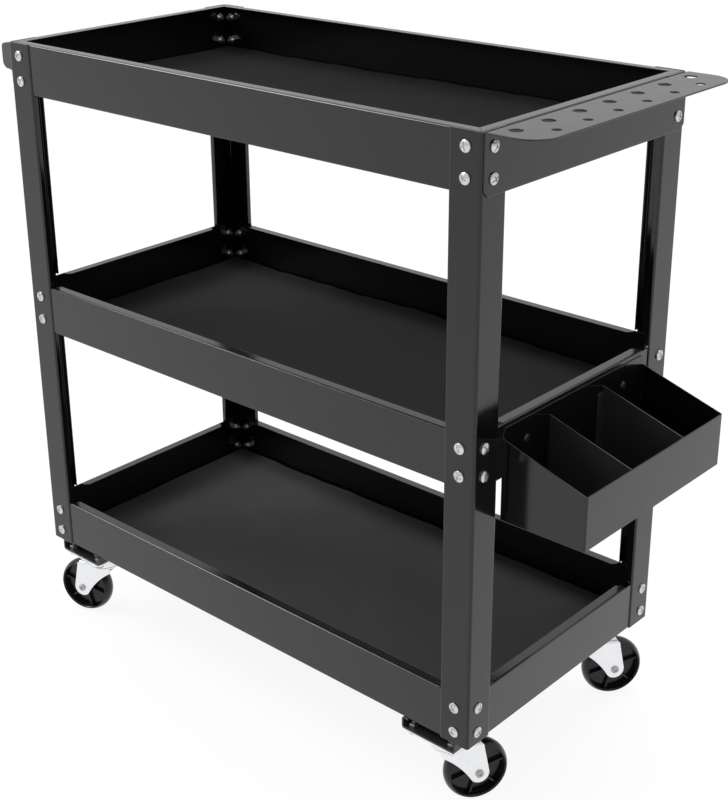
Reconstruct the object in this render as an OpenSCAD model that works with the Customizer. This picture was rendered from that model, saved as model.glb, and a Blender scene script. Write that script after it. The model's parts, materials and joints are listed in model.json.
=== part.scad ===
// Three-tray rolling tool cart. Units: mm. +X runs along the trays towards the
// tool holder and side bin, -X is the handle end, -Y is the front long side,
// +Z is up. The origin lies on the floor under the centre of the whole
// footprint, with the casters parked at the angles below.

/* [Frame] */
// Length of the frame over the outer leg faces
frame_l = 700; // [600:10:900]
// Width of the frame over the outer leg faces
frame_w = 350; // [340:10:450]
// Length of a leg, from the underside of the bottom tray to the top rim
leg_h = 660; // [560:10:800]
// Width of each leg flange
leg_flange = 38; // [34:1:40]
// Leg sheet thickness
leg_t = 1.5; // [1.2:0.1:2]
// Depth of the return lip folded inwards along both edges of a leg
leg_lip = 7; // [5:0.5:9]

/* [Trays] */
// Height of the tray walls
tray_h = 60; // [50:1:75]
// Tray sheet thickness
tray_t = 1.2; // [1:0.1:1.5]
// Width of the lip folded inwards along the top of a tray wall
tray_lip = 12; // [9:0.5:16]
// Thickness of the rubber mats
mat_t = 3; // [2:0.5:5]

/* [Tool holder] */
// How far the perforated shelf reaches out from the legs
holder_d = 60; // [55:1:80]
// Spacing of the holes along the shelf
hole_pitch = 50; // [40:1:50]
// Diameter of the seven inner holes
hole_big_d = 14; // [10:0.5:18]
// Diameter of the six outer holes
hole_small_d = 10; // [6:0.5:12]
// Radius of the shelf's outer corners
holder_r = 28; // [10:1:35]

/* [Side bin] */
// Width of the bin
bin_w = 256; // [200:2:258]
// Depth of the bin, measured out from the tray wall
bin_d = 101; // [70:1:120]
// Height of the side walls where they meet the back panel, above the bin's underside
bin_side_h = 90; // [75:1:110]
// Height of the bin's outer panel
bin_front_h = 59; // [40:1:70]
// Distance of the two dividers from the bin's middle
divider_y = 49; // [35:1:60]
// Bin sheet thickness
bin_t = 1; // [0.8:0.1:1.5]

/* [Handle] */
// How far the handle reaches out from the legs
handle_reach = 48; // [42:1:60]
// Height of the grip's section
grip_h = 31; // [24:1:34]
// Thickness of the grip's section
grip_t = 16; // [14:1:20]

/* [Casters] */
// Wheel diameter
wheel_d = 75; // [65:1:75]
// Wheel width at the tread
wheel_w = 20; // [18:1:24]
// Mounting height, floor to the top of the caster plate
caster_h = 100; // [100:1:110]
// Offset of the axle from the swivel axis
trail = 31; // [26:1:34]
// Parked direction of the front left wheel, degrees from +X
swivel_fl = -162; // [-180:1:180]
// Parked direction of the front right wheel
swivel_fr = 60; // [-180:1:180]
// Parked direction of the back left wheel
swivel_bl = -150; // [-180:1:180]
// Parked direction of the back right wheel
swivel_br = 55; // [-180:1:180]

/* [Hidden] */
$fn = 48;
overlap = 0.01;

// colours
black = [0.11, 0.11, 0.12];
mat_grey = [0.2, 0.2, 0.2];
grip_grey = [0.32, 0.32, 0.33];
zinc = [0.8, 0.81, 0.82];
tyre = [0.06, 0.06, 0.065];

// caster channels
channel_h = 15;
channel_t = 2;
channel_w = 73.5;
channel_foot = 9;

// undersides of the trays above the floor
bottom_z = caster_h + channel_h;
tray_pitch = (leg_h - tray_h) / 2;
middle_z = bottom_z + tray_pitch;
top_z = bottom_z + 2 * tray_pitch;

// outer size of a tray, inside the legs
tray_l = frame_l - 2 * leg_t;
tray_w = frame_w - 2 * leg_t;

// outer radii of the folds
leg_corner_r = 3;
leg_lip_r = 2.4;
tray_base_r = 1.6;
tray_rim_r = 2.4;

// M6 fasteners
screw_r = 3;
screw_hole_r = 3.3;
screw_len = 12;
head_r = 6;
head_h = 3.4;
nut_af = 10;
nut_h = 5;

// leg screws: distances in from the frame's corner, places in the frame,
// and heights above a tray's underside
screw_in_side = leg_flange / 2 - 0.7;
screw_in_end = leg_flange / 2 - 3.2;
screw_x = frame_l / 2 - screw_in_side;
screw_y = frame_w / 2 - screw_in_end;
screw_z = [15, tray_h - 15];

// lips of the two lower trays stop short of the legs
lip_cut_side = leg_flange + 0.5;
lip_cut_end = leg_flange + 9;
lip_chamfer = 5;

holder_t = 1.5;
handle_foot_t = 4;
// middle of the handle below the top rim
handle_drop = 25;

// bin levels, all hung from the middle tray's rim
bin_top_z = middle_z + tray_h - 5;
bin_side_z = middle_z + tray_h - 16;
bin_z = bin_side_z - bin_side_h;
bin_x = tray_l / 2;
bin_screw_y = (bin_w / 2 + divider_y) / 2;
bin_screw_z = middle_z + tray_h / 2;

// swivel axes
caster_x = frame_l / 2 - 54;
caster_y = frame_w / 2 - 39;
// caster plate, its bolts and its boss
plate_l = 75;
plate_w = 70;
plate_t = 2.5;
bolt_x = 26.5;
bolt_y = 29;
boss_r = 22;
// height from the top of the fork's crown to the top of the plate
swivel_h = 21.5;
crown_z = caster_h - swivel_h;
ball_r = 2.45;
ball_ring_r = 16;
pin_r = 5;
// fork and wheel
axle_z = wheel_d / 2;
fork_t = 2.2;
fork_gap = wheel_w + 3;
fork_half_w = fork_gap / 2 + fork_t;
axle_r = 3.5;
sleeve_r = 6;
axle_fit = 0.05;
run_fit = 0.06;
// radius of the crowned tread's section
tread_r = 15;

// Outermost y of a parked wheel, side = -1 front, 1 back
function wheel_y(side, angle) =
  side * caster_y + trail * sin(angle)
  + side * min((wheel_d / 2 - tread_r) * abs(sin(angle)) + tread_r,
    wheel_d / 2 * abs(sin(angle)) + wheel_w / 2 * abs(cos(angle)));

// middle of the footprint, measured from the middle of the frame
y_max = max(frame_w / 2 + head_h, wheel_y(1, swivel_bl), wheel_y(1, swivel_br));
y_min = min(-frame_w / 2 - head_h, wheel_y(-1, swivel_fl), wheel_y(-1, swivel_fr));
origin_x = (bin_x + bin_d - frame_l / 2 - handle_reach) / 2;
origin_y = (y_max + y_min) / 2;

// ---------------------------------------------------------- shared helpers
// Throughout, end = -1 left (handle), 1 right (bin); side = -1 front, 1 back.

module at_origin() {
  translate([-origin_x, -origin_y, 0]) children();
}

// The children and their mirror image
module mirror_pair(axis) {
  for (m = [0, 1]) mirror(m * axis) children();
}

// Folded edge: quarter ring of outer radius r and thickness t, centred on the
// origin, in the quadrant towards -x -y
module bend2d(r, t) {
  difference() {
    intersection() {
      circle(r = r);
      translate([-r, -r]) square(r);
    }
    circle(r = r - t);
  }
}

module rounded_rect(length, width, r) {
  square([length - 2 * r, width], center = true);
  square([length, width - 2 * r], center = true);
  for (i = [-1, 1], j = [-1, 1])
    translate([i * (length / 2 - r), j * (width / 2 - r)]) circle(r = r);
}

// M6 clearance holes, centred on the origin
module hole_x(length) {
  rotate([0, 90, 0]) cylinder(r = screw_hole_r, h = length, center = true);
}

module hole_y(length) {
  rotate([90, 0, 0]) cylinder(r = screw_hole_r, h = length, center = true);
}

// -------------------------------------------------------------------- legs

// Leg section: outer corner at the origin, flanges along +x and +y
module leg2d() {
  flat = leg_flange - leg_corner_r - leg_lip_r;
  translate([leg_corner_r, leg_corner_r]) bend2d(leg_corner_r, leg_t);
  translate([leg_corner_r, 0]) square([flat, leg_t]);
  translate([0, leg_corner_r]) square([leg_t, flat]);
  translate([leg_flange - leg_lip_r, leg_lip_r]) mirror([1, 0]) bend2d(leg_lip_r, leg_t);
  translate([leg_lip_r, leg_flange - leg_lip_r]) mirror([0, 1]) bend2d(leg_lip_r, leg_t);
  translate([leg_flange - leg_t, leg_lip_r]) square([leg_t, leg_lip - leg_lip_r]);
  translate([leg_lip_r, leg_flange - leg_t]) square([leg_lip - leg_lip_r, leg_t]);
}

// One leg, outer corner at the origin, flanges towards +x and +y, foot at z = 0
module leg_body() {
  notch_in = leg_flange - leg_lip_r - 1;
  notch_w = leg_lip_r + 3;
  notch_d = leg_lip + 2;
  difference() {
    linear_extrude(leg_h) leg2d();
    for (level = [0 : 2]) {
      z = level * tray_pitch;
      notch_z = z - 1;
      notch_h = (level == 2 ? leg_h + 1 : z + tray_h + 2.6) - notch_z;
      // the return lips are cut away beside each tray
      translate([notch_in, leg_t, notch_z]) cube([notch_w, notch_d, notch_h]);
      translate([leg_t, notch_in, notch_z]) cube([notch_d, notch_w, notch_h]);
      for (dz = screw_z) {
        translate([screw_in_side, 0, z + dz]) hole_y(12);
        translate([0, screw_in_end, z + dz]) hole_x(12);
      }
    }
    // clipped outer corner at the top
    translate([0, 0, leg_h]) rotate([0, 0, 45]) rotate([0, 45, 0])
      cube([4, 30, 4], center = true);
  }
}

module leg(end, side) {
  at_origin() translate([end * frame_l / 2, side * frame_w / 2, bottom_z])
    mirror([end > 0 ? 1 : 0, 0, 0]) mirror([0, side > 0 ? 1 : 0, 0])
      color(black) leg_body();
}

// ------------------------------------------------------------------- trays

// Section of a tray wall: x runs inwards from the outer face, y runs up
module wall2d(lip) {
  translate([tray_base_r, tray_base_r]) bend2d(tray_base_r, tray_t);
  translate([0, tray_base_r])
    square([tray_t, tray_h - tray_base_r - (lip ? tray_rim_r : 0.8)]);
  if (lip) {
    translate([tray_rim_r, tray_h - tray_rim_r]) mirror([0, 1]) bend2d(tray_rim_r, tray_t);
    translate([tray_rim_r, tray_h - tray_t]) square([tray_lip - tray_rim_r, tray_t]);
  }
}

// Wall section extruded along x, centred
module wall_run(length, lip) {
  translate([-length / 2, 0, 0]) rotate([90, 0, 90]) linear_extrude(length) wall2d(lip);
}

// One wall of a tray, centred on x, outer face on y = 0, mitred at both ends
// and relieved at the corners, clear of the fold inside the leg. With cut > 0
// the lip stops that far from the corners, its own corners clipped.
module wall(length, cut) {
  relief = 1.8;
  gap = 0.3;
  mitre = 20;
  half = length / 2;
  // the clipping outline runs 1 mm past the lip all round
  lip_x = half - cut + 1;
  clip_x = lip_x - lip_chamfer - 2;
  clip_y = tray_lip - lip_chamfer - 1;
  intersection() {
    union() {
      wall_run(length, cut == 0);
      if (cut > 0) intersection() {
        wall_run(length - 2 * cut, true);
        translate([0, 0, -1]) linear_extrude(tray_h + 2)
          polygon([[-lip_x, -1], [lip_x, -1], [lip_x, clip_y], [clip_x, tray_lip + 1],
            [-clip_x, tray_lip + 1], [-lip_x, clip_y]]);
      }
    }
    translate([0, 0, -1]) linear_extrude(tray_h + 2)
      polygon([[-half + relief, -1], [half - relief, -1],
        [half - relief, relief - gap], [half - mitre - gap, mitre],
        [-half + mitre + gap, mitre], [-half + relief, relief - gap]]);
  }
}

// cut: true where the lips stop short of the legs
module tray_body(cut) {
  floor_l = tray_l - 2 * tray_base_r;
  floor_w = tray_w - 2 * tray_base_r;
  difference() {
    union() {
      translate([-floor_l / 2, -floor_w / 2, 0]) cube([floor_l, floor_w, tray_t]);
      for (turn = [0, 180]) rotate([0, 0, turn]) {
        translate([0, -tray_w / 2, 0]) wall(tray_l, cut ? lip_cut_side : 0);
        rotate([0, 0, 90]) translate([0, -tray_l / 2, 0]) wall(tray_w, cut ? lip_cut_end : 0);
      }
    }
    for (end = [-1, 1], side = [-1, 1], dz = screw_z) {
      translate([end * screw_x, side * tray_w / 2, dz]) hole_y(8);
      translate([end * tray_l / 2, side * screw_y, dz]) hole_x(8);
    }
  }
}

module top_tray() {
  at_origin() translate([0, 0, top_z]) color(black) tray_body(false);
}

module middle_tray() {
  at_origin() color(black) difference() {
    translate([0, 0, middle_z]) tray_body(true);
    for (side = [-1, 1]) translate([bin_x, side * bin_screw_y, bin_screw_z]) hole_x(8);
  }
}

module bottom_tray() {
  at_origin() translate([0, 0, bottom_z]) color(black) tray_body(true);
}

// Loose rubber mat lying on the floor of the tray whose underside is at z
module mat(z) {
  play = 7;
  at_origin() translate([0, 0, z + tray_t + 0.1]) color(mat_grey) linear_extrude(mat_t)
    rounded_rect(tray_l - 2 * tray_t - play, tray_w - 2 * tray_t - play, 6);
}

// ------------------------------------------------------------------ handle

// Side outline of the handle, x outwards from the legs, y up from the middle
module handle_side2d() {
  half = grip_h / 2;
  reach = handle_reach;
  top_r = 6;
  low_r = 9;
  polygon([[0, half + 5], [reach - top_r, half], [reach - top_r, half - top_r],
    [reach, half - top_r], [reach, low_r - half], [reach - low_r, low_r - half],
    [reach - low_r - 2, 0.3 - half], [0, -half - 10]]);
  translate([reach - top_r, half - top_r]) circle(r = top_r);
  translate([reach - low_r, low_r - half]) circle(r = low_r);
}

module handle() {
  half_w = frame_w / 2 - 23;
  arm_w = 10;
  at_origin() translate([-frame_l / 2, 0, top_z + tray_h - handle_drop])
    mirror([1, 0, 0]) color(grip_grey) difference() {
      union() {
        // grip
        translate([0, half_w, 0]) rotate([90, 0, 0]) linear_extrude(2 * half_w)
          intersection() {
            handle_side2d();
            translate([handle_reach - grip_t, -40]) square([grip_t, 80]);
          }
        // arms
        for (side = [-1, 1])
          translate([0, side * (half_w - arm_w / 2) + arm_w / 2, 0])
            rotate([90, 0, 0]) linear_extrude(arm_w) handle_side2d();
        // feet
        for (side = [-1, 1]) translate([0, side * (frame_w / 2 - 17), -2])
          rotate([0, 90, 0]) linear_extrude(handle_foot_t) rounded_rect(52, 26, 4);
      }
      // screw holes, with room for the heads
      for (side = [-1, 1], dz = screw_z)
        translate([0, side * screw_y, dz - tray_h + handle_drop]) {
          hole_x(30);
          rotate([0, 90, 0]) translate([0, 0, handle_foot_t])
            cylinder(r = head_r + 0.6, h = 30);
        }
    }
}

// ------------------------------------------------------------- tool holder

module tool_holder() {
  face_x = frame_l / 2;
  rim_z = top_z + tray_h;
  fold_r = 3;
  width = frame_w - 4;
  half = width / 2;
  apron_z = rim_z - tray_h - 1;
  clip = 6;
  inner_row_x = 18;
  outer_row_x = 44;
  at_origin() color(black) difference() {
    intersection() {
      // bent sheet
      translate([face_x, half, rim_z]) rotate([90, 0, 0]) linear_extrude(width) {
        translate([fold_r, -fold_r]) mirror([0, 1]) bend2d(fold_r, holder_t);
        translate([fold_r, -holder_t]) square([holder_d - fold_r, holder_t]);
        translate([0, apron_z - rim_z]) square([holder_t, rim_z - apron_z - fold_r]);
      }
      union() {
        // shelf outline
        translate([0, 0, rim_z - holder_t]) linear_extrude(holder_t + 1) {
          translate([face_x, -half]) square([holder_d - holder_r, width]);
          translate([face_x, -half + holder_r]) square([holder_d, width - 2 * holder_r]);
          for (side = [-1, 1])
            translate([face_x + holder_d - holder_r, side * (half - holder_r)])
              circle(r = holder_r);
        }
        // apron outline, lower corners clipped
        translate([face_x, 0, 0]) rotate([90, 0, 90]) linear_extrude(fold_r + 1)
          polygon([[-half, rim_z - holder_t / 2], [half, rim_z - holder_t / 2],
            [half, apron_z + clip], [half - clip, apron_z],
            [-half + clip, apron_z], [-half, apron_z + clip]]);
      }
    }
    for (i = [-3 : 3]) translate([face_x + inner_row_x, i * hole_pitch, rim_z - 10])
      cylinder(r = hole_big_d / 2, h = 20);
    for (i = [-3 : 2]) translate([face_x + outer_row_x, (i + 0.5) * hole_pitch, rim_z - 10])
      cylinder(r = hole_small_d / 2, h = 20);
    for (side = [-1, 1], dz = screw_z) translate([face_x, side * screw_y, top_z + dz])
      hole_x(12);
  }
}

// ---------------------------------------------------------------- side bin

// Height of the sloping side walls at distance x from the tray
function bin_edge(x) = bin_side_h + (bin_front_h - bin_side_h) * x / bin_d;

// Side outline of the bin walls: x outwards, y up from the bin floor's underside
module bin_side2d(x0, x1, y0) {
  polygon([[x0, y0], [x1, y0], [x1, bin_edge(x1)], [x0, bin_edge(x0)]]);
}

// Side outline as a slab of the given thickness, centred on y = 0
module bin_slab(x0, x1, z, thickness) {
  translate([0, thickness / 2, 0]) rotate([90, 0, 0]) linear_extrude(thickness)
    bin_side2d(x0, x1, z);
}

module bin_shell() {
  half = bin_w / 2;
  back_h = bin_top_z - bin_z;
  back_r = 6;
  bend_r = bin_t + 0.8;
  at_origin() translate([bin_x, 0, bin_z]) color(black) difference() {
    union() {
      // side walls and outer panel, bent round the two outer corners
      intersection() {
        linear_extrude(bin_side_h + 2) {
          mirror_pair([0, 1, 0]) {
            translate([0, half - bin_t]) square([bin_d - bend_r, bin_t]);
            translate([bin_d - bend_r, half - bend_r]) rotate(180) bend2d(bend_r, bin_t);
          }
          translate([bin_d - bin_t, -half + bend_r]) square([bin_t, bin_w - 2 * bend_r]);
        }
        bin_slab(-1, bin_d + 1, -1, bin_w + 2);
      }
      // floor, its edges halfway into the walls
      linear_extrude(bin_t) {
        translate([0, -half + bin_t / 2]) square([bin_d - bend_r, bin_w - bin_t]);
        translate([bin_t / 2, -half + bend_r]) square([bin_d - bin_t, bin_w - 2 * bend_r]);
        mirror_pair([0, 1, 0]) translate([bin_d - bend_r, half - bend_r])
          circle(r = bend_r - bin_t / 2);
      }
      // back panel with rounded upper corners
      rotate([90, 0, 90]) linear_extrude(bin_t) {
        translate([-half, 0]) square([bin_w, back_h - back_r]);
        translate([-half + back_r, 0]) square([bin_w - 2 * back_r, back_h]);
        for (side = [-1, 1]) translate([side * (half - back_r), back_h - back_r])
          circle(r = back_r);
      }
    }
    for (side = [-1, 1]) translate([0, side * bin_screw_y, bin_screw_z - bin_z]) hole_x(12);
  }
}

// Divider plate with a flange folded at each end; flange_dir is 1 towards +y
module divider(y, flange_dir) {
  flange_w = 10;
  // clear of the shell by a hair
  inset = bin_t + 0.05;
  outer_x = bin_d - inset;
  flange_y = flange_dir > 0 ? 0 : -flange_w;
  at_origin() translate([bin_x, y, bin_z]) color(black) {
    bin_slab(inset, outer_x, inset, bin_t);
    intersection() {
      bin_slab(inset, outer_x, inset, 21 + bin_t + 0);
      union() {
        translate([inset, flange_y, inset]) cube([bin_t, flange_w, bin_side_h - 8]);
        translate([outer_x - bin_t, flange_y, inset]) cube([bin_t, flange_w, bin_front_h - 8]);
      }
    }
  }
}

// ---------------------------------------------------------- caster helpers

module at_casters() {
  at_origin() for (end = [-1, 1], side = [-1, 1])
    translate([end * caster_x, side * caster_y, 0]) children();
}

// Frame of one turned caster: z on the swivel axis, x along the trail
module at_fork(end, side, angle) {
  at_origin() translate([end * caster_x, side * caster_y, 0]) rotate([0, 0, angle])
    children();
}

// Frame of one axle: origin in the middle of the wheel, z along the axle
module at_axle(end, side, angle) {
  at_fork(end, side, angle) translate([trail, 0, axle_z]) rotate([90, 0, 0]) children();
}

// The four bolts round a swivel axis
module at_bolts() {
  for (i = [-1, 1], j = [-1, 1]) translate([i * bolt_x, j * bolt_y, 0]) children();
}

// --------------------------------------------------------- caster channels

module caster_channel(end) {
  fold_r = 3.5;
  half = channel_w / 2;
  at_origin() translate([end * caster_x, 0, caster_h]) color(black) difference() {
    translate([0, frame_w / 2 - 1, 0]) rotate([90, 0, 0]) linear_extrude(frame_w - 2) {
      translate([-half + fold_r, 0]) square([2 * (half - fold_r), channel_t]);
      mirror_pair([1, 0, 0]) {
        translate([-half + fold_r, fold_r]) bend2d(fold_r, channel_t);
        translate([-half, fold_r]) square([channel_t, channel_h - 2 * fold_r]);
        translate([-half + fold_r, channel_h - fold_r])
          mirror([0, 1]) bend2d(fold_r, channel_t);
        translate([-half + fold_r, channel_h - channel_t])
          square([channel_foot - fold_r, channel_t]);
      }
    }
    for (side = [-1, 1]) translate([0, side * caster_y, -1]) {
      at_bolts() cylinder(r = screw_hole_r, h = channel_t + 2);
      // clearance for the kingpin's upset head
      cylinder(r = 10, h = channel_t + 2);
    }
  }
}

// ----------------------------------------------------------------- casters

// Fixed top plate with a pressed boss that houses the ball race
module caster_plate(end, side) {
  boss_z = -swivel_h + 1.2;
  flare_z = -swivel_h + 12.5;
  pocket_z = -swivel_h - 0.5;
  boss_top_z = -plate_t + overlap;
  at_origin() translate([end * caster_x, side * caster_y, caster_h]) color(zinc)
    difference() {
      union() {
        translate([0, 0, -plate_t]) linear_extrude(plate_t)
          rounded_rect(plate_w, plate_l, 5);
        translate([0, 0, boss_z]) cylinder(r = boss_r, h = boss_top_z - boss_z);
        translate([0, 0, flare_z])
          cylinder(r1 = boss_r, r2 = boss_r + 3, h = boss_top_z - flare_z);
      }
      // ball pocket and kingpin hole
      translate([0, 0, pocket_z]) cylinder(r = boss_r - 2, h = 5.5);
      translate([0, 0, pocket_z]) cylinder(r = pin_r + 0.05, h = swivel_h + 3);
      at_bolts() translate([0, 0, -5]) cylinder(r = screw_hole_r, h = 6);
    }
}

// Ring of steel balls between a plate and its fork
module swivel_balls() {
  count = 16;
  at_casters() for (i = [0 : count - 1]) {
    angle = 360 / count * i;
    translate([ball_ring_r * cos(angle), ball_ring_r * sin(angle), crown_z + 2.5])
      color(zinc) sphere(r = ball_r);
  }
}

// Riveted kingpins: upset head on top of the plate, flange under the crown
module kingpins() {
  foot_z = crown_z - fork_t - 1;
  at_casters() color(zinc) union() {
    translate([0, 0, foot_z]) cylinder(r = pin_r, h = caster_h - foot_z + overlap);
    translate([0, 0, caster_h]) cylinder(r = 8, h = 2);
    translate([0, 0, crown_z - fork_t - 4.1]) cylinder(r = 9.4, h = 4);
  }
}

// Fork side outline: x = distance from the swivel axis along the trail, y = height
module fork_side2d() {
  hub = [trail, axle_z];
  hub_r = 11.5;
  // the outer edge runs straight from this corner to a tangent on the round end
  outer = [trail + 5, crown_z - 6];
  to_hub = hub - outer;
  hub_dist = norm(to_hub);
  edge_angle = atan2(to_hub[1], to_hub[0]) + asin(hub_r / hub_dist);
  edge_len = sqrt(hub_dist * hub_dist - hub_r * hub_r);
  // the opposite edge is one shallow hollow arc from this corner to the round end
  hollow_r = 110;
  inner = [-14, crown_z - 10];
  span = norm(hub - inner);
  along = (hub - inner) / span;
  reach = hollow_r + hub_r;
  foot = (hollow_r * hollow_r - reach * reach + span * span) / (2 * span);
  centre = inner + foot * along
    + sqrt(hollow_r * hollow_r - foot * foot) * [along[1], -along[0]];
  touch = hub + hub_r / reach * (centre - hub);
  difference() {
    polygon([[inner[0], crown_z], inner, touch, hub,
      outer + edge_len * [cos(edge_angle), sin(edge_angle)], outer,
      [trail + 5, crown_z - 4], [trail + 1, crown_z]]);
    translate(centre) circle(r = hollow_r, $fn = 360);
  }
  translate(hub) circle(r = hub_r);
}

module fork(end, side, angle) {
  fold_r = 4;
  half = fork_half_w;
  at_fork(end, side, angle) color(zinc) difference() {
    union() {
      // side outline crossed with the folded section
      intersection() {
        translate([0, 50, 0]) rotate([90, 0, 0]) linear_extrude(100) fork_side2d();
        translate([-50, 0, 0]) rotate([90, 0, 90]) linear_extrude(150) {
          translate([-half + fold_r, crown_z - fork_t]) square([2 * (half - fold_r), fork_t]);
          mirror_pair([1, 0, 0]) {
            translate([-half + fold_r, crown_z - fold_r])
              mirror([0, 1]) bend2d(fold_r, fork_t);
            translate([-half, 0]) square([fork_t, crown_z - fold_r]);
          }
        }
      }
      translate([0, 0, crown_z - fork_t]) cylinder(r = boss_r - 1, h = fork_t);
    }
    translate([0, 0, crown_z - 12]) cylinder(r = pin_r + run_fit, h = 20);
    translate([trail, 0, axle_z]) rotate([90, 0, 0])
      cylinder(r = axle_r + axle_fit, h = 60, center = true);
  }
}

// Solid rivet axle, a shallow dimple in each head
module axle(end, side, angle) {
  rivet_r = 4.7;
  rim_h = 1.4;
  at_axle(end, side, angle) color(zinc) difference() {
    union() {
      cylinder(r = axle_r, h = 2 * fork_half_w, center = true);
      mirror_pair([0, 0, 1]) translate([0, 0, fork_half_w]) {
        cylinder(r = rivet_r, h = rim_h);
        translate([0, 0, rim_h]) cylinder(r1 = rivet_r, r2 = 3.8, h = 0.8);
      }
    }
    mirror_pair([0, 0, 1]) translate([0, 0, fork_half_w + 1.2]) cylinder(r = 1.9, h = 3);
  }
}

// Steel sleeve held between the fork's cheeks; the wheel turns on it
module sleeve(end, side, angle) {
  at_axle(end, side, angle) color(zinc) difference() {
    cylinder(r = sleeve_r, h = fork_gap - 0.1, center = true);
    cylinder(r = axle_r + axle_fit, h = 60, center = true);
  }
}

module wheel(end, side, angle) {
  radius = wheel_d / 2;
  half = wheel_w / 2;
  edge_r = 3;
  rim_t = 5;
  rib_t = 2.2;
  at_axle(end, side, angle) color(tyre) union() {
    rotate_extrude() {
      // hub and web
      translate([sleeve_r + run_fit, -half - 0.8]) square([5.5, wheel_w + 1.6]);
      translate([sleeve_r + 1, -2]) square([radius - sleeve_r - 4, 4]);
      // rim with a crowned tread
      intersection() {
        union() {
          translate([radius - rim_t, -half]) square([rim_t - edge_r, wheel_w]);
          translate([radius - edge_r - 0.5, -half + edge_r])
            square([edge_r + 0.5, wheel_w - 2 * edge_r]);
          for (face = [-1, 1]) translate([radius - edge_r, face * (half - edge_r)])
            circle(r = edge_r);
        }
        translate([radius - tread_r, 0]) circle(r = tread_r, $fn = 96);
      }
    }
    // ribs from hub to rim on both faces
    for (i = [0 : 5]) rotate([0, 0, 60 * i + 15])
      translate([sleeve_r + 4, -rib_t / 2, -half + 4])
        cube([radius - sleeve_r - 8, rib_t, wheel_w - 8]);
  }
}

// --------------------------------------------------------------- fasteners
// turn: angle of the head's recess or of the nut's flats, varied between pieces

// Dome of a screw head: a ball of radius dome_r centred at -sink, cut to r and h
module dome(dome_r, sink, r, h) {
  rotate_extrude() intersection() {
    translate([0, -sink]) circle(r = dome_r, $fn = 96);
    square([r, h]);
  }
}

// Pan-head machine screw, head's underside at z = 0, shank towards -z
module pan_screw(length, turn) {
  difference() {
    union() {
      translate([0, 0, -length]) cylinder(r = screw_r, h = length + overlap);
      dome(dome_r = 10.6, sink = 7.19, r = head_r - 0.15, h = head_h);
      cylinder(r = head_r, h = 1.3);
    }
    // full-width slot crossed by a short, deeper one
    rotate([0, 0, turn]) translate([0, 0, head_h - 0.2]) {
      cube([1.5, 2 * head_r + 2, 2.6], center = true);
      cube([6.4, 1.5, 3.4], center = true);
    }
  }
}

// Low domed screw with a cross recess, head's underside at z = 0
module low_screw(length, turn) {
  difference() {
    union() {
      translate([0, 0, -length]) cylinder(r = screw_r, h = length + overlap);
      dome(dome_r = 9.3, sink = 7.5, r = head_r - 0.5, h = 1.8);
    }
    rotate([0, 0, turn]) for (arm = [0, 90]) rotate([0, 0, arm])
      translate([0, 0, 1.6]) cube([4.6, 1, 1.4], center = true);
  }
}

module hexagon(height) {
  cylinder(r = nut_af / sqrt(3), h = height, $fn = 6);
}

module hex_nut(turn) {
  rotate([0, 0, turn]) difference() {
    hexagon(nut_h);
    translate([0, 0, -1]) cylinder(r = screw_r + 0.03, h = nut_h + 2);
  }
}

// Screws through the front and back flanges, then through the end flanges of
// the two lower levels
module leg_screws() {
  at_origin() color(zinc)
    for (end = [-1, 1], side = [-1, 1], level = [0 : 2], row = [0, 1]) {
      z = bottom_z + level * tray_pitch + screw_z[row];
      turn = 20 + 37 * (2 * level + row) + 25 * end + 40 * side;
      translate([end * screw_x, side * frame_w / 2, z]) rotate([-90 * side, 0, 0])
        pan_screw(screw_len, turn);
      if (level < 2) translate([end * frame_l / 2, side * screw_y, z])
        rotate([0, 90 * end, 0]) pan_screw(screw_len, turn + 15);
    }
}

// Top-level screws at one end, through a part of thickness part_t on the legs
module end_screws(end, part_t, turn, row_turn) {
  at_origin() color(zinc) for (side = [-1, 1], row = [0, 1])
    translate([end * (frame_l / 2 + part_t), side * screw_y, top_z + screw_z[row]])
      rotate([0, 90 * end, 0])
        pan_screw(screw_len + part_t, turn + row_turn * row + 20 * side);
}

module holder_screws() {
  end_screws(end = 1, part_t = holder_t, turn = 50, row_turn = 30);
}

module handle_screws() {
  end_screws(end = -1, part_t = handle_foot_t, turn = 10, row_turn = 40);
}

module leg_nuts() {
  at_origin() color(zinc)
    for (end = [-1, 1], side = [-1, 1], level = [0 : 2], row = [0, 1]) {
      z = bottom_z + level * tray_pitch + screw_z[row];
      turn = 11 * (level + 2 * row) + 7 * end;
      translate([end * screw_x, side * (tray_w / 2 - tray_t), z])
        rotate([90 * side, 0, 0]) hex_nut(turn);
      translate([end * (tray_l / 2 - tray_t), side * screw_y, z])
        rotate([0, -90 * end, 0]) hex_nut(turn + 20);
    }
}

module bin_screws() {
  at_origin() color(black) for (side = [-1, 1])
    translate([bin_x + bin_t, side * bin_screw_y, bin_screw_z]) rotate([0, 90, 0])
      low_screw(11, 40 + 25 * side);
}

module bin_nuts() {
  at_origin() color(zinc) for (side = [-1, 1])
    translate([bin_x - tray_t, side * bin_screw_y, bin_screw_z]) rotate([0, -90, 0])
      hex_nut(15 * side);
}

module caster_bolts() {
  head = 4;
  color(zinc) at_casters() translate([0, 0, caster_h]) at_bolts() {
    translate([0, 0, -plate_t - head]) rotate([0, 0, 12]) hexagon(head);
    translate([0, 0, -plate_t - overlap])
      cylinder(r = screw_r, h = plate_t + channel_t + nut_h + 2);
  }
}

module caster_nuts() {
  color(zinc) at_casters() translate([0, 0, caster_h + channel_t]) at_bolts() hex_nut(8);
}

// ---------------------------------------------------------------- assembly

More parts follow.
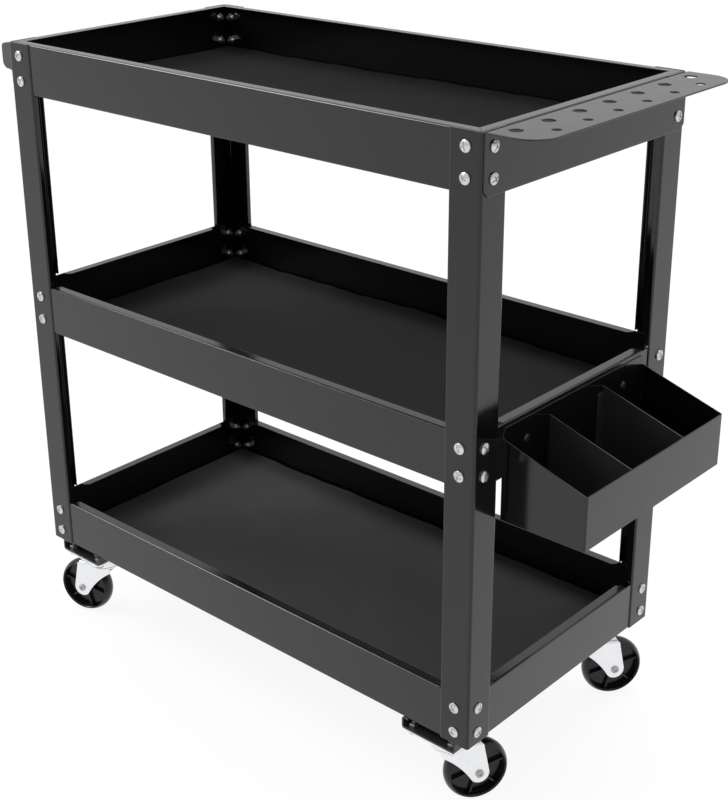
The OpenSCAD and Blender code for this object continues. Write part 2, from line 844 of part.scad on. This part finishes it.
leg(-1, -1);  // leg_front_left
leg(1, -1);  // leg_front_right
leg(-1, 1);  // leg_back_left
leg(1, 1);  // leg_back_right
top_tray();
middle_tray();
bottom_tray();
mat(top_z);  // top_mat
mat(middle_z);  // middle_mat
mat(bottom_z);  // bottom_mat
handle();
tool_holder();
bin_shell();
divider(-divider_y, 1);  // bin_divider_front
divider(divider_y, -1);  // bin_divider_back
caster_channel(-1);  // caster_channel_left
caster_channel(1);  // caster_channel_right
caster_plate(-1, -1);  // caster_plate_front_left
caster_plate(1, -1);  // caster_plate_front_right
caster_plate(-1, 1);  // caster_plate_back_left
caster_plate(1, 1);  // caster_plate_back_right
swivel_balls();
kingpins();
leg_screws();
holder_screws();
handle_screws();
leg_nuts();
bin_screws();
bin_nuts();
caster_bolts();
caster_nuts();
fork(-1, -1, swivel_fl);  // fork_front_left
fork(1, -1, swivel_fr);  // fork_front_right
fork(-1, 1, swivel_bl);  // fork_back_left
fork(1, 1, swivel_br);  // fork_back_right
axle(-1, -1, swivel_fl);  // axle_front_left
axle(1, -1, swivel_fr);  // axle_front_right
axle(-1, 1, swivel_bl);  // axle_back_left
axle(1, 1, swivel_br);  // axle_back_right
sleeve(-1, -1, swivel_fl);  // sleeve_front_left
sleeve(1, -1, swivel_fr);  // sleeve_front_right
sleeve(-1, 1, swivel_bl);  // sleeve_back_left
sleeve(1, 1, swivel_br);  // sleeve_back_right
wheel(-1, -1, swivel_fl);  // wheel_front_left
wheel(1, -1, swivel_fr);  // wheel_front_right
wheel(-1, 1, swivel_bl);  // wheel_back_left
wheel(1, 1, swivel_br);  // wheel_back_right
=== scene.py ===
# A tool cart on casters: trays with rubber mats, bins, a tool holder and a handle.
# Its long side lies along X, its front faces -Y and it stands on a floor just below z = 0.
import json
import math

import bpy
import numpy as np
from mathutils import Matrix, Vector

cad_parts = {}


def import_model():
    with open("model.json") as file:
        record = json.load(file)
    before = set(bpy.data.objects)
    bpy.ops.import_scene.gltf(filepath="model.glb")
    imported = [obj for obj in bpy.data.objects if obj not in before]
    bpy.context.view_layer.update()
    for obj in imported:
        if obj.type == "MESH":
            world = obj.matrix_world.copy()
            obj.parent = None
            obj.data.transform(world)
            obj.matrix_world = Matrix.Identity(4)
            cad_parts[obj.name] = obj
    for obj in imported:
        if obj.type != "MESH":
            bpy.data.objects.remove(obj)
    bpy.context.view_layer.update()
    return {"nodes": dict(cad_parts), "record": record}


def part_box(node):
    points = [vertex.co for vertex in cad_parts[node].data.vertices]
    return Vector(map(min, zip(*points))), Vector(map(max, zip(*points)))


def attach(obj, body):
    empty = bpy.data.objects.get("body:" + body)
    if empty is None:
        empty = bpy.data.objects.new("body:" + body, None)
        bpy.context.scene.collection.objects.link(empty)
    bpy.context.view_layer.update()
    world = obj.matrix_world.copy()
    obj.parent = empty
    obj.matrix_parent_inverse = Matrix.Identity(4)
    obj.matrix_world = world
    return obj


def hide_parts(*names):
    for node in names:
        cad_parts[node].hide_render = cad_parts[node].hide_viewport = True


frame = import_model()
NODES = frame["nodes"]
SLOTS = {part["node"]: part["material_slot"] for part in frame["record"]["subparts"]}
SCENE = bpy.context.scene


# ---------------------------------------------------------------- node helper
class Net:
    """Wires shader nodes. Most calls make one node and return its output."""

    def __init__(self, tree):
        self.tree = tree
        tree.nodes.clear()

    def put(self, socket, value):
        """Link a socket, or set a value; a colour given as RGB gets alpha 1."""
        if isinstance(value, bpy.types.NodeSocket):
            self.tree.links.new(value, socket)
        elif isinstance(value, tuple):
            size = len(socket.default_value)
            socket.default_value = (list(value) + [1.0])[:size]
        else:
            socket.default_value = value

    def node(self, kind, inputs=None, **props):
        """Make a node and return the node itself."""
        made = self.tree.nodes.new(kind)
        for key, value in props.items():
            setattr(made, key, value)
        for key, value in (inputs or {}).items():
            self.put(made.inputs[key], value)
        return made

    def math(self, operation, a, b, clamp=False):
        made = self.node("ShaderNodeMath", {0: a, 1: b}, operation=operation, use_clamp=clamp)
        return made.outputs[0]

    def add(self, a, b, clamp=False):
        return self.math("ADD", a, b, clamp)

    def mul(self, first, *others):
        for other in others:
            first = self.math("MULTIPLY", first, other)
        return first

    def step(self, value, start, end):
        """Smooth step: 0 at start, 1 at end (end may be below start)."""
        rising = start <= end
        made = self.node("ShaderNodeMapRange", {
            "Value": value, "From Min": min(start, end), "From Max": max(start, end),
            "To Min": 0.0 if rising else 1.0, "To Max": 1.0 if rising else 0.0,
        }, interpolation_type="SMOOTHSTEP")
        return made.outputs["Result"]

    def mix(self, factor, at0, at1):
        inputs = {0: factor, 2: at0, 3: at1}
        return self.node("ShaderNodeMix", inputs, data_type="FLOAT").outputs[0]

    def mix_color(self, factor, at0, at1):
        inputs = {0: factor, 6: at0, 7: at1}
        return self.node("ShaderNodeMix", inputs, data_type="RGBA").outputs[2]

    def noise(self, coords, scale, detail, rough, warp=0.0):
        return self.node("ShaderNodeTexNoise", {
            "Vector": coords, "Scale": scale, "Detail": detail,
            "Roughness": rough, "Distortion": warp}).outputs["Fac"]

    def split(self, vector):
        return self.node("ShaderNodeSeparateXYZ", {0: vector}).outputs

    def grey(self, value, blue):
        """A grey whose blue channel is scaled by blue."""
        inputs = {0: value, 1: value, 2: self.mul(value, blue)}
        return self.node("ShaderNodeCombineColor", inputs).outputs[0]

    def geometry(self, output):
        return self.node("ShaderNodeNewGeometry").outputs[output]

    def bump(self, height, strength, distance, normal):
        return self.node("ShaderNodeBump", {
            "Strength": strength, "Distance": distance,
            "Height": height, "Normal": normal}).outputs[0]

    def emission(self, color, strength):
        inputs = {"Color": color, "Strength": strength}
        return self.node("ShaderNodeEmission", inputs).outputs[0]

    def mix_shader(self, factor, at0, at1):
        return self.node("ShaderNodeMixShader", {0: factor, 1: at0, 2: at1}).outputs[0]

    def principled(self, inputs):
        """The surface shader, wired to the material output."""
        shader = self.node("ShaderNodeBsdfPrincipled", inputs).outputs[0]
        self.node("ShaderNodeOutputMaterial", {0: shader})


def material(name):
    made = bpy.data.materials.new(name)
    made.use_nodes = True
    return made, Net(made.node_tree)


def offset_coords(net, seed):
    """Object coordinates in metres, shifted so that no two nodes share a pattern."""
    coords = net.node("ShaderNodeTexCoord").outputs["Object"]
    shift = (seed * 1.37, seed * 2.11, seed * 0.73)
    return net.node("ShaderNodeMapping", {"Vector": coords, "Location": shift}).outputs[0]


def edge_mask(net, radius):
    """(rounded normal, 0..1 mask along the edges)."""
    rounded = net.node("ShaderNodeBevel", {"Radius": radius}, samples=6).outputs[0]
    inputs = {0: rounded, 1: net.geometry("Normal")}
    dot = net.node("ShaderNodeVectorMath", inputs, operation="DOT_PRODUCT").outputs["Value"]
    return rounded, net.step(dot, start=0.995, end=0.86)


# ------------------------------------------------------------------ materials
# Lengths are in metres. In each look, rough is the roughness about which the noises
# vary, and edge_radius is how far the edges are rounded in shading.
def powder_coat(name, seed, rough, base=0.0022, peel=1.0, haze=0.01, edge_radius=0.0007):
    """Glossy black powder coat: a clear gloss over a hazy ground, orange peel,
    cloudy sheen, rubbed edges, a little dust."""
    made, net = material(name)
    coords = offset_coords(net, seed)
    rounded, edges = edge_mask(net, edge_radius)
    cloud = net.noise(coords, scale=9.0, detail=3.0, rough=0.55)
    grit = net.noise(coords, scale=160.0, detail=2.0, rough=0.6)
    fine_peel = net.noise(coords, scale=330.0, detail=1.5, rough=0.5, warp=0.3)
    wave = net.noise(coords, scale=26.0, detail=2.0, rough=0.5)
    blotch = net.noise(coords, scale=16.0, detail=5.0, rough=0.62)
    # patchy wear, strongest on the edges
    wear = net.noise(coords, scale=70.0, detail=4.0, rough=0.7)
    wear = net.step(wear, start=0.42, end=0.66)
    wear = net.mul(edges, net.mix(wear, at0=0.35, at1=1.0), 0.5)
    # gloss roughness: cloudy and gritty patches, duller where worn
    gloss = net.add(net.add(rough - 0.045, net.mul(cloud, 0.07)), net.mul(grit, 0.025))
    gloss = net.add(gloss, net.mul(wear, 0.22), clamp=True)
    # faint dust on faces that look up
    up = net.step(net.split(net.geometry("Normal"))[2], start=0.6, end=0.98)
    specks = net.noise(coords, scale=34.0, detail=6.0, rough=0.72)
    dust = net.mul(up, net.step(specks, start=0.46, end=0.78), 0.010)
    tone = net.add(net.mul(net.mix(cloud, at0=0.75, at1=1.3), base), dust)
    # rubbed places go half way to a bare grey
    color = net.mix_color(net.mul(wear, 0.5), net.grey(tone, blue=1.04), (0.16, 0.16, 0.165))
    # the long wave outweighs the fine peel
    height = net.add(net.mul(fine_peel, 0.35 * peel), net.mul(wave, 1.5 * peel))
    bump = net.bump(height, strength=0.55, distance=0.00010, normal=rounded)
    net.principled({
        "Base Color": color, "Roughness": net.add(0.36, net.mul(cloud, 0.08)), "IOR": 1.5,
        "Specular IOR Level": net.mul(net.mix(blotch, at0=0.7, at1=1.3), haze),
        "Normal": bump, "Coat Weight": 1.0, "Coat Roughness": gloss, "Coat IOR": 1.48,
        "Coat Normal": bump})
    return made


def metal(name, seed, rough, stain, color=(0.80, 0.81, 0.83), edge_radius=0.0004, dull=0.0):
    """Plated or plain steel: fine grain, cloudy plating, dull stains, brighter rubbed edges."""
    made, net = material(name)
    coords = offset_coords(net, seed)
    rounded, edges = edge_mask(net, edge_radius)
    cloud = net.noise(coords, scale=60.0, detail=4.0, rough=0.6)
    spangle = net.noise(coords, scale=420.0, detail=3.0, rough=0.6, warp=0.5)
    marks = net.noise(coords, scale=130.0, detail=5.0, rough=0.7)
    marks = net.step(marks, start=0.52, end=0.74)
    # roughness: cloud and spangle, then the stain marks
    sheen = net.add(rough - 0.08, net.add(net.mul(cloud, 0.14), net.mul(spangle, 0.06)))
    sheen = net.add(sheen, net.mul(marks, 0.16 * stain), clamp=True)
    # colour: cloudy plating, darker marks, pale edges
    clouded, marked = (tuple(part * shade for part in color) for shade in (0.74, 0.45))
    tint = net.mix_color(net.mul(cloud, stain), color, clouded)
    tint = net.mix_color(net.mul(marks, 0.30 * stain + dull), tint, marked)
    tint = net.mix_color(net.mul(edges, 0.35), tint, (0.90, 0.90, 0.90))
    height = net.add(net.mul(spangle, 0.5), net.mul(cloud, 0.9))
    bump = net.bump(height, strength=0.35, distance=0.00008, normal=rounded)
    net.principled({"Base Color": tint, "Metallic": 1.0, "Roughness": sheen, "Normal": bump})
    return made


def polymer(name, seed, tone, rough, grain, grain_scale, dust, specular=0.5, edge=0.25):
    """Rubber or moulded plastic: fine tooth, cloudy tone, lighter rubbed edges, dust."""
    made, net = material(name)
    coords = offset_coords(net, seed)
    rounded, edges = edge_mask(net, radius=0.0006)
    cloud = net.noise(coords, scale=14.0, detail=4.0, rough=0.6)
    tooth = net.noise(coords, scale=grain_scale, detail=3.0, rough=0.65)
    scuff = net.noise(coords, scale=48.0, detail=6.0, rough=0.75, warp=0.4)
    scuff = net.step(scuff, start=0.50, end=0.80)
    # cloudy tone, dusty scuffs, edges lightened in proportion plus a small fixed part
    value = net.mul(net.mix(cloud, at0=0.80, at1=1.22), tone)
    value = net.add(value, net.mul(scuff, dust))
    value = net.add(value, net.mul(edges, (tone + 0.004) * edge))
    # roughness varies with the cloud and rises in the scuffs
    sheen = net.add(rough - 0.05, net.mul(cloud, 0.10))
    sheen = net.add(sheen, net.mul(scuff, 0.08), clamp=True)
    bump = net.bump(tooth, strength=0.4 * grain, distance=0.00015, normal=rounded)
    net.principled({"Base Color": net.grey(value, blue=1.02), "Roughness": sheen, "IOR": 1.5,
                    "Specular IOR Level": specular, "Normal": bump})
    return made


# Lit and shaded copies of one rubber: each tray's mat gets its own tone as painted light and
# shade, darkest on top and lightest at the bottom.
MAT_PAINTED_LIGHT_TONES = {"top_mat": 0.0125, "middle_mat": 0.024, "bottom_mat": 0.046}


def powder_look(node):
    """Powder coat settings for one node."""
    if node.startswith("bin_divider"):
        # painted light: the dividers get a lighter copy of the same black coat
        return dict(rough=0.15, peel=1.5, base=0.022)
    if node.startswith("bin"):
        return dict(rough=0.13, peel=1.6, base=0.0030)
    if node.startswith("caster_channel"):
        # painted light: the channels get a lighter copy of the same black coat
        return dict(rough=0.12, peel=0.6, base=0.022)
    if node.endswith("_tray"):
        return dict(rough=0.13, haze=0.05)
    if node == "tool_holder":
        return dict(rough=0.11, edge_radius=0.0016)
    return dict(rough=0.10)


def node_material(node, slot, seed):
    """The material of one node, chosen by its slot."""
    if slot == "black_powder_coat":
        return powder_coat("powder_" + node, seed, **powder_look(node))
    if slot == "rubber_mat":
        # the tone per tray is painted light and shade
        return polymer("mat_" + node, seed, tone=MAT_PAINTED_LIGHT_TONES[node], rough=0.72, grain=0.7,
                       grain_scale=1400.0, dust=0.0015,
                       specular=0.02 if node == "top_mat" else 0.06)
    if slot == "handle_plastic":
        return polymer("handle_plastic", seed, tone=0.055, rough=0.46, grain=0.8,
                       grain_scale=1100.0, dust=0.010)
    if slot == "wheel_rubber":
        return polymer("rubber_" + node, seed, tone=0.0025, rough=0.20, grain=0.3,
                       grain_scale=300.0, dust=0.001, specular=0.34, edge=0.6)
    if slot == "bearing_steel":
        return metal("balls", seed, rough=0.12, stain=0.1)
    if slot == "black_screw":
        return powder_coat("black_screw", seed, rough=0.3)
    if slot == "zinc_fastener":
        if node.startswith("caster"):
            # painted shade: the caster nuts and bolts get a darker copy of the same zinc
            look = dict(color=(0.30, 0.30, 0.31), rough=0.30, stain=0.6)
        else:
            look = dict(color=(0.66, 0.66, 0.67), rough=0.20, stain=0.5)
        return metal("zinc_" + node, seed, edge_radius=0.00025, **look)
    if slot == "rivet_steel":
        return metal("rivet_" + node, seed, color=(0.42, 0.42, 0.43), rough=0.34,
                     stain=0.7, dull=0.2)
    return metal("caster_" + node, seed, color=(0.86, 0.87, 0.89), rough=0.30, stain=0.30)


SEED_STEP = 0.31
MATERIALS = {node: node_material(node, SLOTS[node], SEED_STEP * (i + 1))
             for i, node in enumerate(sorted(NODES))}
for node, part in NODES.items():
    part.data.materials.clear()
    part.data.materials.append(MATERIALS[node])

# ------------------------------------------------------------------ the mats
# Thin rubber sheets that lie a little unevenly: the back edge curls up, the
# left edge lifts less, and the surface waves by a fraction of a millimetre.
COLUMNS, ROWS = 172, 84
CORNER_RADIUS = 0.006
SHEET_INSET = 0.0003    # taken off the thickness above and below
WAVE_HEIGHT = 0.00018
BACK_BAND, LEFT_BAND = 0.030, 0.022    # widths of the lifted margins
LEFT_SHARE = 0.4    # lift of the left edge against the back
PULL_SHARE = 0.25    # how far the back edge draws in, against its lift


def sheet_outline(width, depth):
    """Grid of X and Y about the centre, with rounded corners."""
    across = np.linspace(-0.5, 0.5, COLUMNS)
    along = np.linspace(-0.5, 0.5, ROWS)
    # denser rows near the front and back edges
    along = np.sign(along) * (1 - (1 - 2 * np.abs(along)) ** 1.5) / 2
    x, y = np.meshgrid(across * width, along * depth, indexing="ij")
    # place in the corner square, in radii: 0 at its inner sides, 1 at the edge
    corner_x = np.clip(1 - (width / 2 - np.abs(x)) / CORNER_RADIUS, 0, 1)
    corner_y = np.clip(1 - (depth / 2 - np.abs(y)) / CORNER_RADIUS, 0, 1)
    reach = CORNER_RADIUS / np.maximum(np.hypot(corner_x, corner_y), 1)
    in_corner = (corner_x > 0) & (corner_y > 0)
    round_x = np.sign(x) * (width / 2 - CORNER_RADIUS + corner_x * reach)
    round_y = np.sign(y) * (depth / 2 - CORNER_RADIUS + corner_y * reach)
    return np.where(in_corner, round_x, x), np.where(in_corner, round_y, y)


def edge_lift(distance, band, place, mean, ripples):
    """Lift of 0..1.2 that fades over band, uneven along place.
    Ripples are (amplitude, radians per metre, phase)."""
    uneven = mean + sum(size * np.sin(rate * place + phase) for size, rate, phase in ripples)
    return np.clip(1 - distance / band, 0, 1) ** 2 * np.clip(uneven, 0.1, 1.2)


def sheet_faces():
    """Top and bottom grids, joined around the rim."""
    count = COLUMNS * ROWS
    faces = []
    for i in range(COLUMNS - 1):
        for j in range(ROWS - 1):
            a = i * ROWS + j
            b = a + ROWS
            faces.append((a, b, b + 1, a + 1))
            faces.append((count + a, count + a + 1, count + b + 1, count + b))
    rim = [i * ROWS for i in range(COLUMNS)]
    rim += [(COLUMNS - 1) * ROWS + j for j in range(1, ROWS)]
    rim += [i * ROWS + ROWS - 1 for i in range(COLUMNS - 2, -1, -1)]
    rim += list(range(ROWS - 2, 0, -1))
    for a, b in zip(rim, rim[1:] + rim[:1]):
        faces.append((b, a, count + a, count + b))
    return faces


def sheet(node, seed, curl):
    """Replace a mat by an uneven sheet whose back edge lifts by about curl."""
    low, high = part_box(node)
    width, depth = high.x - low.x, high.y - low.y
    thickness = high.z - low.z - 2 * SHEET_INSET
    phase = np.random.default_rng(seed).uniform(0, 2 * math.pi, 12)
    x, y = sheet_outline(width, depth)
    wave = WAVE_HEIGHT * (np.sin(9 * x + phase[0]) * np.cos(13 * y + phase[1])
                          + np.sin(23 * x + phase[2] + 6 * y) * 0.5 + 1.5)
    back = curl * edge_lift(depth / 2 - y, BACK_BAND, x, 0.55, (
        (0.25, 14, phase[3]), (0.14, 39, phase[4]), (0.10, 83, phase[5]), (0.06, 171, phase[6])))
    left = LEFT_SHARE * curl * edge_lift(width / 2 + x, LEFT_BAND, y, 0.5, (
        (0.3, 21, phase[7]), (0.15, 57, phase[8])))
    x = x + (high.x + low.x) / 2
    y = y - PULL_SHARE * back + (high.y + low.y) / 2
    bottom = low.z + SHEET_INSET + wave + back + left
    points = [np.stack([x, y, z], -1).reshape(-1, 3) for z in (bottom + thickness, bottom)]
    name = node + "_sheet"
    mesh = bpy.data.meshes.new(name)
    mesh.from_pydata(np.vstack(points).tolist(), [], sheet_faces())
    mesh.update()
    mesh.shade_smooth()
    mesh.set_sharp_from_angle(angle=math.radians(40))
    made = bpy.data.objects.new(name, mesh)
    SCENE.collection.objects.link(made)
    mesh.materials.append(MATERIALS[node])
    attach(made, "frame")
    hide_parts(node)


sheet("top_mat", seed=11, curl=0.0030)
sheet("middle_mat", seed=12, curl=0.0050)
sheet("bottom_mat", seed=13, curl=0.0045)

# --------------------------------------------------------- floor, world, light
WHITE = 1.0
FLOOR_HALF, FLOOR_Z = 60.0, -0.0004


def floor():
    mesh = bpy.data.meshes.new("studio_floor")
    signs = ((-1, -1), (1, -1), (1, 1), (-1, 1))
    corners = [(x * FLOOR_HALF, y * FLOOR_HALF, FLOOR_Z) for x, y in signs]
    mesh.from_pydata(corners, [], [(0, 1, 2, 3)])
    mesh.update()
    made = bpy.data.objects.new("studio_floor", mesh)
    SCENE.collection.objects.link(made)
    look, net = material("studio_floor")
    mesh.materials.append(look)
    look.cycles.emission_sampling = "NONE"
    rays = net.node("ShaderNodeLightPath").outputs
    x, y, _ = net.split(net.geometry("Position"))
    # as seen: flat white that takes a soft share of the shadows
    pale = net.node("ShaderNodeBsdfDiffuse", {"Color": (0.93, 0.93, 0.93)}).outputs[0]
    flat = net.emission((WHITE, WHITE, WHITE), strength=1.0)
    seen = net.mix_shader(0.10, flat, pale)
    # diffuse light off the floor, with a painted shadow: weaker under the cart
    painted_shadow_under_cart = net.mul(net.step(x, start=-0.55, end=-0.25), net.step(x, start=0.55, end=0.25),
                    net.step(y, start=-0.42, end=-0.1), net.step(y, start=0.42, end=0.1))
    soft = net.emission((1, 1, 1), strength=net.mix(painted_shadow_under_cart, at0=0.62, at1=0.25))
    shader = net.mix_shader(rays["Is Diffuse Ray"], seen, soft)
    net.node("ShaderNodeOutputMaterial", {0: shader})


def world():
    """White to the camera; for other rays a dome that brightens overhead."""
    made = bpy.data.worlds.new("studio")
    SCENE.world = made
    made.use_nodes = True
    net = Net(made.node_tree)
    rays = net.node("ShaderNodeLightPath").outputs
    z = net.split(net.node("ShaderNodeTexCoord").outputs["Generated"])[2]
    dome = net.add(0.62, net.mul(net.math("MAXIMUM", z, 0.0), 0.55))
    strength = net.mix(rays["Is Camera Ray"], at0=dome, at1=WHITE * 0.995)
    inputs = {"Color": (1, 1, 1), "Strength": strength}
    shader = net.node("ShaderNodeBackground", inputs).outputs[0]
    net.node("ShaderNodeOutputWorld", {0: shader})


def area_light(name, place, target, size_x, size_y, power):
    light = bpy.data.lights.new(name, "AREA")
    light.shape = "RECTANGLE"
    light.size = size_x
    light.size_y = size_y
    light.energy = power
    made = bpy.data.objects.new(name, light)
    SCENE.collection.objects.link(made)
    made.location = place
    made.rotation_mode = "QUATERNION"
    made.rotation_quaternion = (Vector(target) - Vector(place)).to_track_quat("-Z", "Y")
    made.visible_camera = False


floor()
world()
# soft key from the front left, and a weaker light high toward the back right
area_light("key_front_left", place=(-2.3, -1.6, 2.6), target=(0, 0, 0.4),
           size_x=1.7, size_y=1.3, power=70)
area_light("top_soft", place=(0.5, 0.9, 3.2), target=(0, 0, 0.6),
           size_x=1.8, size_y=1.8, power=45)

# --------------------------------------------------------------------- camera
CAMERA_PLACE = Vector((1.105548, -1.218263, 1.091706))
AZIMUTH = math.radians(42.771)    # turned left from +Y
DIP = math.radians(21.993)    # looking down
ROLL = math.radians(-0.728)


def camera():
    ahead = Vector((-math.sin(AZIMUTH) * math.cos(DIP), math.cos(AZIMUTH) * math.cos(DIP),
                    -math.sin(DIP)))
    level = ahead.cross(Vector((0, 0, 1))).normalized()
    above = level.cross(ahead)
    right = math.cos(ROLL) * level + math.sin(ROLL) * above
    up = -math.sin(ROLL) * level + math.cos(ROLL) * above
    lens = bpy.data.cameras.new("camera")
    lens.sensor_fit = "AUTO"
    lens.sensor_width = 36.0
    lens.lens = 67.071015
    lens.shift_x = 0.031505
    lens.shift_y = -0.06341625
    lens.clip_start = 0.01
    lens.clip_end = 300.0
    made = bpy.data.objects.new("camera", lens)
    SCENE.collection.objects.link(made)
    turn = Matrix((right, up, -ahead)).transposed()
    made.matrix_world = Matrix.Translation(CAMERA_PLACE) @ turn.to_4x4()
    SCENE.camera = made


camera()

# ------------------------------------------------------------------- settings
SCENE.view_settings.view_transform = "Standard"
SCENE.view_settings.look = "None"
SCENE.cycles.use_denoising = True
SCENE.cycles.max_bounces = 8
SCENE.cycles.diffuse_bounces = 3
SCENE.cycles.glossy_bounces = 5
SCENE.cycles.seed = 7
SCENE.cycles.sample_clamp_indirect = 8.0
